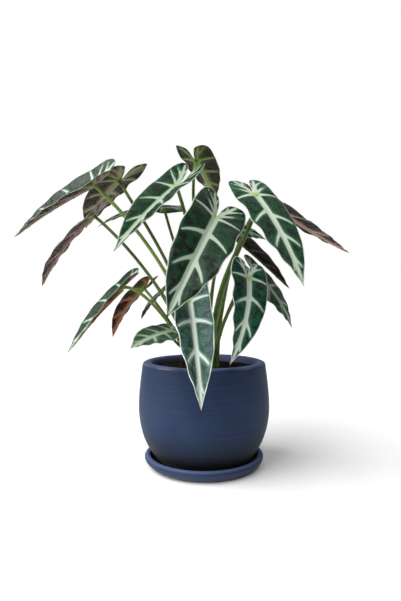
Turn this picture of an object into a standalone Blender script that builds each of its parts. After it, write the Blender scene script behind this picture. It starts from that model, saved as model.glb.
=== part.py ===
"""Potted polly alocasia: a round-bellied pot on its saucer, soil, and eighteen arrow-shaped leaves.

Metres, +Z up. The origin is the middle of the saucer's underside. The front of the plant faces -Y.
The leaf table is in millimetres and degrees, and is turned to metres where it is read.
"""

import math
from typing import NamedTuple

import bmesh
import bpy
from mathutils import Matrix, Vector, noise

MM = 0.001
CLEAR = 0.0003
ROUND_STEPS = 40

# Saucer: a low dish with a rounded rim
SAUCER_FLOOR = 0.006
SAUCER_TOP = 0.0165
SAUCER_RADIUS = 0.079
SAUCER_INNER = 0.0712
SAUCER_BASE_RADIUS = 0.064

# Pot: thrown, round-bellied, with a thick rounded rim and a drain hole
POT_BOTTOM = SAUCER_FLOOR + CLEAR
POT_TOP = 0.1385
RIM_RADIUS = 0.082
RIM_INNER = 0.069
BELLY_RADIUS = 0.087
BELLY_HEIGHT = 0.080
FOOT_RADIUS = 0.056
FOOT_INNER = 0.044
FOOT_RECESS = 0.0025
POT_FLOOR = 0.016
DRAIN_RADIUS = 0.007

# Soil
SOIL_LEVEL = 0.129
SOIL_BUMP = 0.0018
SOIL_SEED = 7.0
SOIL_EDGE = 0.012
HOLE_DEPTH = 0.0185
HOLE_SIDES = 9

# Leaves
VEINS = 5
ROWS_PER_VEIN = 3
BLADE_THICKNESS = 0.0008
JOINT_THICKNESS = 0.0040
RIB_THICKNESS = 0.0030
RIB_TIP_THICKNESS = 0.0010
WAVE_SHARE = 0.035
SCALLOP = 0.03
FOOT_DEPTH = 0.018
FOOT_CLEAR_OF_SOIL = 0.004
PETIOLE_POINTS = 9
PETIOLE_TOP_SHARE = 0.64
SHEATH_TAPER = 0.20
ARRIVAL_LEAN = 0.25
ARRIVAL_SHARE = 0.22


class Leaf(NamedTuple):
    """One leaf, in millimetres and degrees.

    joint and tip are the two ends of the blade's midrib. roll turns the blade about the line between
    them, and arch is how far the midrib bends on the way. fold lifts the left and the right half,
    seen on the top side with the tip down, curl rolls them on, lift turns the lobes up and twist
    turns the tip. foot is where the petiole leaves the soil, rise how long it climbs before it
    leans, lean how it meets the blade, and sheath how far up its thick base reaches. The larger
    taper is, the later the blade narrows to its tip.
    """

    name: str
    joint: tuple
    tip: tuple
    roll: float
    arch: float
    half_width: float
    lobe: float
    fold: tuple
    curl: float
    lift: float
    twist: float
    foot: tuple
    rise: float
    foot_radius: float
    lean: float = ARRIVAL_LEAN
    sheath: float = 0.30
    taper: float = 2.3
    columns: int = 3


LEAVES = (
    Leaf("leaf_front_middle", (13, -83, 316), (-40, -138, 201), 50, 65, 34, 44, (34, 10), -12, 8, -14,
         (2, -13), 0.35, 3.9, taper=3.4),
    Leaf("leaf_front_left", (-36, -18, 368), (-104, -93, 275), 18, 15, 29, 50, (20, 28), -6, 16, 4,
         (-4.5, -6), 0.52, 3.8),
    Leaf("leaf_top_back", (-11, 8, 409), (20, 115, 378), -14, 10, 26, 33, (34, 18), -14, 2, 8,
         (-2, 7), 0.50, 3.5, lean=-0.3),
    Leaf("leaf_far_left", (-137, -47, 363), (-262, 15, 306), 45, 10, 28, 38, (26, 28), -4, 14, 0,
         (-12, -13), 0.36, 3.8),
    Leaf("leaf_back_left", (-116, 12, 384), (-191, 128, 336), 16, 15, 33, 42, (12, 14), -15, 4, -4,
         (-12.5, -4), 0.38, 3.7),
    Leaf("leaf_long_left", (-148, 0, 333), (-237, 55, 240), 30, 22, 28, 42, (16, 20), -26, 3, -4,
         (-20, -8), 0.28, 3.7, taper=3.6),
    Leaf("leaf_low_left", (-97, -66, 235), (-169, -51, 154), 24, 10, 20, 27, (24, 22), -4, -8, 24,
         (-19, -17), 0.15, 3.2, lean=1.2),
    Leaf("leaf_low_left_inner", (-84, 25, 236), (-135, 63, 164), 8, 32, 21, 24, (22, 22), -16, 10, 0,
         (-19.5, 1), 0.20, 3.0, taper=2.8, columns=2),
    Leaf("leaf_low_left_back", (-57, 38, 237), (-97, 95, 189), 32, 18, 19, 26, (6, 6), -26, 8, 0,
         (-17, 8.5), 0.25, 2.8, columns=2),
    Leaf("leaf_small_pale", (-40, -69, 182), (-79, -134, 168), 18, 18, 21, 20, (10, 12), -16, 8, 5,
         (-13, -21), 0.25, 2.6, taper=3.0, columns=2),
    Leaf("leaf_narrow_back", (-59, 60, 359), (-157, 63, 328), 0, 40, 22, 32, (0, 0), -35, 0, 3,
         (-10, 5), 0.40, 3.2, columns=2),
    Leaf("leaf_over_rim", (-18, -64, 219), (-4, -152, 107), 10, 14, 28, 38, (28, 56), -10, 16, 4,
         (-5, -21), 0.35, 3.7, taper=3.0),
    Leaf("leaf_low_right", (53, -62, 246), (28, -105, 147), 60, 50, 25, 28, (10, 28), -22, 10, 10,
         (9.5, -17), 0.12, 3.5),
    Leaf("leaf_front_right", (65, -36, 353), (112, -100, 235), -16, 28, 29, 38, (12, 10), -24, -4, 2,
         (10, -7), 0.60, 4.4, lean=-0.9, sheath=0.46, taper=3.0),
    Leaf("leaf_far_right", (88, 40, 363), (228, 98, 293), -20, -8, 36, 40, (16, -4), -6, 14, 2,
         (17, -0.5), 0.35, 3.8),
    Leaf("leaf_dark_right", (43, 60, 314), (134, 96, 237), -5, 5, 26, 36, (22, 22), -10, 8, 6,
         (5.5, 9), 0.35, 3.5),
    Leaf("leaf_small_bright", (32, 2, 320), (84, 2, 301), -50, 20, 14, 20, (6, 6), -26, 8, 0,
         (5, 1.5), 0.40, 2.4, columns=2),
    Leaf("leaf_low_right_back", (73, 22, 255), (128, 50, 178), -60, 34, 24, 30, (12, 12), -28, 8, 0,
         (12.5, 8), 0.25, 3.1, columns=2),
)


def make_material(name, colour, roughness):
    """A Principled material with no metal in it."""
    material = bpy.data.materials.new(name)
    material.use_nodes = True
    shader = material.node_tree.nodes["Principled BSDF"]
    shader.inputs["Base Color"].default_value = (*colour, 1.0)
    shader.inputs["Roughness"].default_value = roughness
    shader.inputs["Metallic"].default_value = 0.0
    material.diffuse_color = (*colour, 1.0)
    return material


def add_object(name, bm, material):
    """Puts a bmesh in the scene as one smooth-shaded object."""
    mesh = bpy.data.meshes.new(name)
    bm.to_mesh(mesh)
    bm.free()
    mesh.shade_smooth()
    mesh.materials.append(material)
    obj = bpy.data.objects.new(name, mesh)
    bpy.context.scene.collection.objects.link(obj)
    return obj


def cubic(a, b, c, d, t):
    """The point at t on a Bezier curve."""
    s = 1.0 - t
    return a * s ** 3 + b * (3 * s * s * t) + c * (3 * s * t * t) + d * t ** 3


def cubic_run(a, b, c, d, steps):
    """Points along a Bezier curve, ends included."""
    ends = [Vector(p) for p in (a, b, c, d)]
    return [cubic(*ends, i / steps) for i in range(steps + 1)]


def turned(profile, closed):
    """A bmesh turned about Z from a profile of (radius, height) points."""
    bm = bmesh.new()
    verts = [bm.verts.new((p[0], 0.0, p[1])) for p in profile]
    edges = [bm.edges.new(pair) for pair in zip(verts, verts[1:])]
    if closed:
        edges.append(bm.edges.new((verts[-1], verts[0])))
    bmesh.ops.spin(bm, geom=verts + edges, cent=(0, 0, 0), axis=(0, 0, 1),
                   angle=math.tau, steps=ROUND_STEPS, use_merge=True)
    bmesh.ops.remove_doubles(bm, verts=bm.verts, dist=1e-6)
    bmesh.ops.recalc_face_normals(bm, faces=bm.faces)
    return bm


def pot_outer(steps=5):
    """The pot's outside from under the rim down to the foot."""
    shoulder = cubic_run((RIM_RADIUS, POT_TOP - 0.0035), (0.084, 0.118), (BELLY_RADIUS, 0.100),
                         (BELLY_RADIUS, BELLY_HEIGHT), steps)
    belly = cubic_run((BELLY_RADIUS, BELLY_HEIGHT), (BELLY_RADIUS, 0.050), (0.076, 0.020),
                      (FOOT_RADIUS, POT_BOTTOM + 0.001), steps)
    return shoulder + belly[1:]


def pot_inner(steps=5, inset=0.0):
    """The pot's inside from the floor up to under the rim, moved in by inset."""
    low = cubic_run((0.046 - inset, POT_FLOOR + inset), (0.066 - inset, POT_FLOOR + 0.010),
                    (0.077 - inset, 0.052), (0.0775 - inset, BELLY_HEIGHT), steps)
    high = cubic_run((0.0775 - inset, BELLY_HEIGHT), (0.0775 - inset, 0.104),
                     (0.0705 - inset, 0.122), (RIM_INNER - inset, SOIL_LEVEL), steps // 2)
    return low + high[1:]


def build_saucer(material):
    """The dish, solid under the pot."""
    outer = cubic_run((SAUCER_RADIUS, SAUCER_TOP - 0.003), (SAUCER_RADIUS + 0.0002, 0.008),
                      (0.073, 0.002), (SAUCER_BASE_RADIUS, 0.0), 5)
    rim = cubic_run((SAUCER_INNER, SAUCER_TOP - 0.003), (SAUCER_INNER + 0.001, SAUCER_TOP + 0.001),
                    (SAUCER_RADIUS - 0.001, SAUCER_TOP + 0.001), (SAUCER_RADIUS, SAUCER_TOP - 0.003), 4)
    inner = [(SAUCER_INNER - 0.0055, SAUCER_FLOOR), (SAUCER_INNER - 0.0015, SAUCER_FLOOR + 0.002)]
    profile = [(0.0, SAUCER_FLOOR)] + inner + [tuple(p) for p in rim]
    profile += [tuple(p) for p in outer[1:]] + [(0.0, 0.0)]
    return add_object("saucer", turned(profile, closed=False), material)


def build_pot(material):
    """The pot, open at the top and at the drain hole."""
    lip = cubic_run((RIM_INNER, POT_TOP - 0.004), (RIM_INNER + 0.001, POT_TOP + 0.001),
                    (RIM_RADIUS - 0.002, POT_TOP + 0.001), (RIM_RADIUS, POT_TOP - 0.0035), 5)
    under = [(FOOT_RADIUS - 0.0015, POT_BOTTOM), (FOOT_INNER, POT_BOTTOM),
             (FOOT_INNER - 0.002, POT_BOTTOM + FOOT_RECESS), (DRAIN_RADIUS, POT_BOTTOM + FOOT_RECESS),
             (DRAIN_RADIUS, POT_FLOOR)]
    profile = [tuple(p) for p in pot_outer()] + under
    profile += [tuple(p) for p in pot_inner()] + [tuple(p) for p in lip[:-1]]
    return add_object("pot", turned(profile, closed=True), material)


def soil_height(x, y):
    """The soil's crumbly surface: low waves that die out at the wall."""
    at = Vector((x / 0.012, y / 0.012, SOIL_SEED))
    fade = min(1.0, max(0.0, (RIM_INNER - CLEAR - math.hypot(x, y)) / SOIL_EDGE))
    return SOIL_LEVEL + SOIL_BUMP * fade * (noise.noise(at) + 0.5 * noise.noise(at * 2.7))


def hole_cutter(leaf, collection):
    """A plain round hole for one petiole's foot."""
    radius = (leaf.foot_radius * MM + CLEAR) / math.cos(math.pi / HOLE_SIDES)
    top = SOIL_LEVEL + 0.02
    bottom = SOIL_LEVEL - HOLE_DEPTH
    bm = bmesh.new()
    bmesh.ops.create_cone(bm, cap_ends=True, segments=HOLE_SIDES, radius1=radius, radius2=radius,
                          depth=top - bottom,
                          matrix=Matrix.Translation((leaf.foot[0] * MM, leaf.foot[1] * MM,
                                                     (top + bottom) / 2)))
    mesh = bpy.data.meshes.new("hole")
    bm.to_mesh(mesh)
    bm.free()
    cutter = bpy.data.objects.new("hole_" + leaf.name, mesh)
    cutter.hide_render = True
    cutter.display_type = "WIRE"
    collection.objects.link(cutter)


def applied(obj):
    """Replaces the object's mesh with its evaluated one and takes the modifiers off."""
    graph = bpy.context.evaluated_depsgraph_get()
    mesh = bpy.data.meshes.new_from_object(obj.evaluated_get(graph))
    obj.modifiers.clear()
    obj.data = mesh
    return obj


def build_soil(material):
    """Soil from the pot's floor to just under its rim, with a hole for each petiole."""
    wall = [tuple(p) for p in pot_inner(inset=CLEAR)]
    rings = [(wall[-1][0] * share, SOIL_LEVEL) for share in (0.78, 0.52, 0.26)]
    bm = turned([(0.0, POT_FLOOR + CLEAR)] + wall + rings + [(0.0, SOIL_LEVEL)], closed=False)
    for vert in bm.verts:
        if vert.co.z > SOIL_LEVEL - 1e-5:
            vert.co.z = soil_height(vert.co.x, vert.co.y)
    soil = add_object("soil", bm, material)
    holes = bpy.data.collections.new("holes")
    bpy.context.scene.collection.children.link(holes)
    for leaf in LEAVES:
        hole_cutter(leaf, holes)
    cut = soil.modifiers.new("holes", "BOOLEAN")
    cut.operand_type = "COLLECTION"
    cut.collection = holes
    cut.operation = "DIFFERENCE"
    cut.solver = "EXACT"
    bpy.context.view_layer.update()
    applied(soil)
    for cutter in list(holes.objects):
        bpy.data.objects.remove(cutter)
    bpy.data.collections.remove(holes)
    return soil


def body_half_width(leaf, t):
    """Half-width of the blade at share t of the way to the tip, from 1 at the joint."""
    return (1 - t ** leaf.taper) * (1 - 0.45 * t ** 6)


def margin_point(leaf, length, v):
    """Flat point on the blade's edge. v is 0 at the lowest side vein, VEINS at the tip,
    -1 at the lobe's end and -2 in the notch between the lobes."""
    width = leaf.half_width * MM
    lobe = leaf.lobe * MM
    if v >= 0:
        t = v / VEINS
        along = t + 0.62 * t * (1 - t) + 0.04 * (1 - t)
        ripple = 1 + SCALLOP * math.cos(math.tau * v) * (1 - t ** 4)
        return Vector((width * body_half_width(leaf, along) * ripple, length * along))
    side = Vector((width * body_half_width(leaf, 0.04) * (1 + SCALLOP), 0.04 * length))
    end = Vector((0.56 * width, -lobe))
    notch = Vector((0.0, -0.035 * length))
    if v >= -1:
        return cubic(side, side + Vector((0.02 * width, -0.50 * lobe)),
                     end + Vector((0.40 * width, 0.0)), end, -v)
    return cubic(end, end + Vector((-0.40 * width, 0.0)),
                 notch + Vector((0.10 * width, -0.50 * lobe)), notch, -v - 1)


def flat_point(leaf, length, u, v):
    """Flat point on the half-blade: u runs along a vein from the midrib to the edge."""
    edge = margin_point(leaf, length, v)
    root = Vector((0.0, length * max(v, 0.0) / VEINS))
    bend = Vector((0.6 * edge.x, root.y + 0.22 * (edge.y - root.y)))
    fan = min(max(-2 * v, 0.0), 1.0)
    bend = bend.lerp(0.55 * edge, fan)
    return root * (1 - u) ** 2 + bend * (2 * u * (1 - u)) + edge * u * u


class Blade:
    """Where a leaf's blade lies in space."""

    def __init__(self, leaf):
        self.leaf = leaf
        self.joint = Vector(leaf.joint) * MM
        chord = Vector(leaf.tip) * MM - self.joint
        self.along = chord.normalized()
        up = Vector((0, 0, 1))
        level = (up - up.dot(self.along) * self.along).normalized()
        roll = math.radians(leaf.roll)
        self.normal = level * math.cos(roll) + level.cross(self.along) * math.sin(roll)
        self.arch = math.radians(leaf.arch)
        self.length = chord.length * (self.arch / 2) / math.sin(self.arch / 2)

    def midrib(self, s):
        """The point, direction and top side's normal at distance s from the joint."""
        if s >= 0:
            turn = self.arch / self.length
            heading = self.arch / 2 - turn * s
            along = (math.sin(self.arch / 2) - math.sin(heading)) / turn
            above = (math.cos(heading) - math.cos(self.arch / 2)) / turn
        else:
            turn = math.radians(self.leaf.lift) / (self.leaf.lobe * MM) or 1e-6
            heading = self.arch / 2 + turn * s
            along = (math.sin(heading) - math.sin(self.arch / 2)) / turn
            above = (math.cos(self.arch / 2) - math.cos(heading)) / turn
        point = self.joint + self.along * along + self.normal * above
        tangent = self.along * math.cos(heading) + self.normal * math.sin(heading)
        normal = self.normal * math.cos(heading) - self.along * math.sin(heading)
        return point, tangent, normal

    def point(self, u, v, side):
        """A point in the middle of the blade's thickness. side is 1 right of the midrib, -1 left."""
        leaf = self.leaf
        flat = flat_point(leaf, self.length, u, v)
        point, tangent, normal = self.midrib(flat.y)
        twist = math.radians(leaf.twist) * min(max(flat.y / self.length, 0.0), 1.0)
        across = normal.cross(tangent)
        normal = normal * math.cos(twist) + across * math.sin(twist)
        across = normal.cross(tangent)
        fold = math.radians(leaf.fold[0] if side < 0 else leaf.fold[1])
        curl = math.radians(leaf.curl) / (leaf.half_width * MM) or 1e-6
        out = (math.sin(fold + curl * flat.x) - math.sin(fold)) / curl
        rise = (math.cos(fold) - math.cos(fold + curl * flat.x)) / curl
        fade = 1 - (max(v, 0.0) / VEINS) ** 3
        wave = -WAVE_SHARE * leaf.half_width * MM * math.cos(math.tau * v) * u * u * fade
        return point + across * (side * out) + normal * (rise + wave)


def rib_weight(leaf, blade, vert):
    """Thickness of the blade at a vertex, as a share of the thickness at the joint."""
    if (vert - blade.joint).length < 1e-5:
        return 1.0
    for step in range(1, ROWS_PER_VEIN * VEINS + 1):
        share = step / (ROWS_PER_VEIN * VEINS)
        if (vert - blade.midrib(blade.length * share)[0]).length < 1e-5:
            return (RIB_THICKNESS + (RIB_TIP_THICKNESS - RIB_THICKNESS) * share) / JOINT_THICKNESS
    return BLADE_THICKNESS / JOINT_THICKNESS


def blade_rows():
    """The veins and the lines between them that the blade is built on, notch to tip."""
    lobe = [-2 + 0.25 * i for i in range(8)]
    return lobe + [i / ROWS_PER_VEIN for i in range(ROWS_PER_VEIN * VEINS + 1)]


def build_blade(leaf, blade, material):
    """The blade: both halves as one curved sheet, thickened towards its midrib."""
    rows = blade_rows()
    bm = bmesh.new()
    for side in (-1, 1):
        grid = [[bm.verts.new(blade.point(col / leaf.columns, v, side))
                 for col in range(leaf.columns + 1)] for v in rows]
        for low, high in zip(grid, grid[1:]):
            for col in range(leaf.columns):
                corners = (low[col], low[col + 1], high[col + 1], high[col])
                bm.faces.new(corners if side > 0 else corners[::-1])
    bmesh.ops.remove_doubles(bm, verts=bm.verts, dist=1e-5)
    bmesh.ops.triangulate(bm, faces=bm.faces, quad_method="SHORT_EDGE")
    obj = add_object(leaf.name, bm, material)
    group = obj.vertex_groups.new(name="thickness")
    for vert in obj.data.vertices:
        group.add([vert.index], rib_weight(leaf, blade, vert.co), "REPLACE")
    thick = obj.modifiers.new("thickness", "SOLIDIFY")
    thick.thickness = JOINT_THICKNESS
    thick.offset = 0.0
    thick.vertex_group = group.name
    return obj


def petiole_path(leaf, blade):
    """Points up the petiole's middle, from its foot in the soil to the joint."""
    foot = Vector((leaf.foot[0] * MM, leaf.foot[1] * MM, SOIL_LEVEL + FOOT_CLEAR_OF_SOIL))
    _, tangent, normal = blade.midrib(0.0)
    arrival = (normal + leaf.lean * tangent).normalized()
    reach = (blade.joint - foot).length
    bottom = foot - Vector((0, 0, FOOT_DEPTH + FOOT_CLEAR_OF_SOIL))
    above = cubic_run(foot, foot + Vector((0, 0, reach * leaf.rise)),
                      blade.joint - arrival * (reach * ARRIVAL_SHARE), blade.joint, PETIOLE_POINTS)
    return [bottom] + above


def petiole_radius(leaf, share):
    """Thick at the sheath, slender above it."""
    above = min(max((share - leaf.sheath) / SHEATH_TAPER, 0.0), 1.0)
    above = above * above * (3 - 2 * above)
    return leaf.foot_radius * MM * (1 - (1 - PETIOLE_TOP_SHARE) * above)


def build_petiole(leaf, blade):
    """The petiole as a closed tube, ready to be joined to the blade."""
    path = petiole_path(leaf, blade)
    curve = bpy.data.curves.new("petiole", "CURVE")
    curve.dimensions = "3D"
    curve.bevel_depth = 1.0
    curve.bevel_resolution = 1
    curve.use_fill_caps = True
    spline = curve.splines.new("POLY")
    spline.points.add(len(path) - 1)
    for i, (point, at) in enumerate(zip(spline.points, path)):
        point.co = (*at, 1.0)
        point.radius = petiole_radius(leaf, max(i - 1, 0) / PETIOLE_POINTS)
    tube = bpy.data.objects.new("petiole_" + leaf.name, curve)
    bpy.context.scene.collection.objects.link(tube)
    bpy.context.view_layer.update()
    mesh = bpy.data.meshes.new_from_object(tube.evaluated_get(bpy.context.evaluated_depsgraph_get()))
    bpy.data.objects.remove(tube)
    bm = bmesh.new()
    bm.from_mesh(mesh)
    bmesh.ops.remove_doubles(bm, verts=bm.verts, dist=1e-6)
    bmesh.ops.recalc_face_normals(bm, faces=bm.faces)
    bm.to_mesh(mesh)
    bm.free()
    solid = bpy.data.objects.new("petiole_" + leaf.name, mesh)
    bpy.context.scene.collection.objects.link(solid)
    return solid


def build_leaf(leaf, material):
    """One grown leaf: petiole and blade as one solid."""
    blade = Blade(leaf)
    obj = build_blade(leaf, blade, material)
    petiole = build_petiole(leaf, blade)
    join = obj.modifiers.new("petiole", "BOOLEAN")
    join.operation = "UNION"
    join.solver = "EXACT"
    join.object = petiole
    bpy.context.view_layer.update()
    applied(obj)
    bpy.data.objects.remove(petiole)
    return obj


def main():
    for obj in list(bpy.data.objects):
        bpy.data.objects.remove(obj)
    ware = make_material("matte_blue_stoneware", (0.055, 0.075, 0.160), 0.62)
    build_saucer(ware)
    build_pot(ware)
    build_soil(make_material("potting_soil", (0.018, 0.012, 0.009), 0.95))
    green = make_material("leaf_green", (0.020, 0.090, 0.040), 0.38)
    for leaf in LEAVES:
        build_leaf(leaf, green)


main()
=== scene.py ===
"""Potted polly alocasia: the finished look of the plant, its soil, its pot and its saucer.

Laid out as an add-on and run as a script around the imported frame. Sizes are in metres; the leaf
table is in millimetres and degrees, as a grower's notes would be.
"""

import math
from typing import NamedTuple

import bmesh
import bpy
import numpy as np
from mathutils import Matrix, Vector, noise


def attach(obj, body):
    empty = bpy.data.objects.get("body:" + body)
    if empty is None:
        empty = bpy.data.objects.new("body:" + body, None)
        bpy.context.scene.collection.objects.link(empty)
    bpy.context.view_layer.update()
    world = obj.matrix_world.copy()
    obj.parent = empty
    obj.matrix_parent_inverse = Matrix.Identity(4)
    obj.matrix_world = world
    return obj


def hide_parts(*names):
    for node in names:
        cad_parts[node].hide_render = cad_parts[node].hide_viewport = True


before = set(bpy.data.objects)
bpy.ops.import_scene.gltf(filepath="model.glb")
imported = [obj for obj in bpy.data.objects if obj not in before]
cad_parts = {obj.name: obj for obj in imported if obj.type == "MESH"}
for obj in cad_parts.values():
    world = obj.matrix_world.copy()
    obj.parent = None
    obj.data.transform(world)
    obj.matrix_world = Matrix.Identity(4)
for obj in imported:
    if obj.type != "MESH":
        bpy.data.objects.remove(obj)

bl_info = {
    "name": "Potted Alocasia",
    "version": (1, 0, 0),
    "blender": (4, 5, 0),
    "location": "View3D > Sidebar > Alocasia",
    "description": "Builds a potted polly alocasia around its packed frame",
    "category": "Add Mesh",
}

MM = 0.001
# the gap that the frame leaves between saucer, pot and soil
CLEAR = 0.0003
BODY = "root"


def srgb(code):
    """Linear red, green and blue of a hex colour."""
    parts = [int(code[i:i + 2], 16) / 255 for i in (1, 3, 5)]
    return tuple(p / 12.92 if p <= 0.04045 else ((p + 0.055) / 1.055) ** 2.4 for p in parts)


def colour_prop(name, description, code):
    """A colour that a user can change, given by its hex value."""
    return bpy.props.FloatVectorProperty(name=name, description=description, subtype="COLOR",
                                         size=3, min=0.0, max=1.0, default=srgb(code))


def length_prop(name, description, default):
    """A length in metres."""
    return bpy.props.FloatProperty(name=name, description=description, default=default,
                                   unit="LENGTH", precision=4)


def factor_prop(name, description, default, top=1.0):
    """A plain share."""
    return bpy.props.FloatProperty(name=name, description=description, default=default,
                                   min=0.0, max=top, subtype="FACTOR")


def light_prop(name, description, default, unit="NONE"):
    """How strong a light is."""
    return bpy.props.FloatProperty(name=name, description=description, default=default, min=0.0,
                                   unit=unit)


class WareSettings(bpy.types.PropertyGroup):
    """Pot and saucer."""

    saucer_floor: length_prop("Saucer floor", "Height of the saucer's inside above its base", 0.006)
    saucer_top: length_prop("Saucer top", "Height of the saucer's rim", 0.0165)
    saucer_radius: length_prop("Saucer radius", "Outside radius of the saucer", 0.079)
    saucer_inner: length_prop("Saucer inside", "Radius inside the saucer's rim", 0.0712)
    saucer_base: length_prop("Saucer base", "Radius of the saucer's flat base", 0.064)
    pot_top: length_prop("Pot top", "Height of the pot's rim", 0.1385)
    rim_radius: length_prop("Rim radius", "Outside radius of the pot's rim", 0.082)
    rim_inner: length_prop("Rim inside", "Radius of the pot's mouth", 0.069)
    belly_radius: length_prop("Belly radius", "Radius at the pot's widest", 0.087)
    belly_height: length_prop("Belly height", "Height of the pot's widest place", 0.080)
    foot_radius: length_prop("Foot radius", "Radius of the ring that the pot stands on", 0.056)
    pot_floor: length_prop("Pot floor", "Height of the pot's inside floor", 0.016)
    drain_radius: length_prop("Drain hole", "Radius of the drain hole", 0.007)
    ridge: length_prop("Throwing ridge", "Depth of the ridges that the potter's hand leaves", 0.00010)
    steps: bpy.props.IntProperty(name="Steps", description="Steps round a turned piece",
                                 default=144, min=24, max=256)
    slip: colour_prop("Slip", "Main colour of the matte blue slip", "#20304A")
    slip_thin: colour_prop("Thin slip", "Where the slip is brushed thin", "#2F3E5E")
    slip_deep: colour_prop("Deep slip", "Where the slip lies thick", "#1A2740")
    # partly worn slip, partly painted highlight: the paler colour on the rims' crests where the light
    # falls, and painted light on the pot's inner wall above the soil; the grit flecks use it too
    rim_wear_and_highlight: colour_prop("Worn rim", "The slip on rims and edges", "#5E6890")
    # painted shade: the near-black laid on the pot towards its foot and in the saucer's hollow round it
    painted_foot_shade: colour_prop("Wet foot", "Slip and clay that water keeps dark", "#04070D")
    clay: colour_prop("Bare clay", "Fired clay where the slip is rubbed off", "#A89A9C")


class SoilSettings(bpy.types.PropertyGroup):
    """Potting soil."""

    level: length_prop("Level", "Height of the soil's surface", 0.129)
    bump: length_prop("Waves", "Height of the surface's low waves", 0.0018)
    crumbs: bpy.props.IntProperty(name="Crumbs", description="Loose crumbs on the surface",
                                  default=900, min=0, max=4000)
    seed: bpy.props.IntProperty(name="Seed", description="Seed of the crumbs", default=11)
    humus: colour_prop("Humus", "Damp dark soil", "#17110D")
    peat: colour_prop("Peat", "Dry brown flecks", "#3E2E20")
    bark: colour_prop("Bark", "Few pale bark chips", "#8A6A43")


class LeafSettings(bpy.types.PropertyGroup):
    """Blades and petioles."""

    cell: length_prop("Cell", "Size of one cell of a blade's mesh", 0.0013)
    thickness: length_prop("Thickness", "Thickness of the blade between its veins", 0.0008)
    rib: length_prop("Rib", "How far the midrib stands out below, at the joint", 0.0026)
    quilt: length_prop("Quilt", "How far the blade swells up between its veins", 0.0018)
    wave: factor_prop("Wave", "Height of the edge's waves, as a share of the half-width", 0.035)
    scallop: factor_prop("Scallop", "Depth of the edge's scallops, as a share of the half-width", 0.03)
    midrib_width: factor_prop("Midrib width", "Half-width of the pale midrib at the joint, as a "
                              "share of the blade's half-width", 0.152)
    vein_width: factor_prop("Vein width", "Half-width of a side vein where it starts, as a share "
                            "of the blade's half-width", 0.078)


class StageSettings(bpy.types.PropertyGroup):
    """Floor, light and camera."""

    floor: colour_prop("Floor", "Plain pale floor", "#F0F0F0")
    key: light_prop("Key light", "Strength of the soft key light", 5.0)
    ceiling: light_prop("Ceiling light", "Strength of the light from above", 0.48)
    walls: light_prop("Wall light", "Strength of the light from the sides", 0.10)
    softbox: light_prop("Softbox", "Power of the softbox in front", 5.5, "POWER")
    eye: bpy.props.FloatVectorProperty(name="Camera", description="Where the camera stands",
                                       default=(-0.0047, -0.620, 0.219), subtype="TRANSLATION",
                                       unit="LENGTH")
    lens: bpy.props.FloatProperty(name="Lens", description="Focal length", default=27.55,
                                  unit="CAMERA")


class Leaf(NamedTuple):
    """One leaf, in millimetres and degrees.

    joint and tip are the two ends of the blade's midrib. roll turns the blade about the line between
    them, and arch is how far the midrib bends on the way. fold lifts the left and the right half,
    seen on the top side with the tip down, curl rolls them on, lift turns the lobes up and twist
    turns the tip. foot is where the petiole leaves the soil, rise how long it climbs before it
    leans, lean how it meets the blade, and sheath how far up its thick base reaches. The larger
    taper is, the later the blade narrows to its tip. upper, lower and stalk name the finishes of
    its two faces and its petiole.
    """

    node: str
    joint: tuple
    tip: tuple
    roll: float
    arch: float
    half_width: float
    lobe: float
    fold: tuple
    curl: float
    lift: float
    twist: float
    foot: tuple
    rise: float
    foot_radius: float
    lean: float = 0.25
    sheath: float = 0.30
    taper: float = 2.3
    upper: str = "deep"
    lower: str = "plain"
    stalk: str = "olive"


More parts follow.
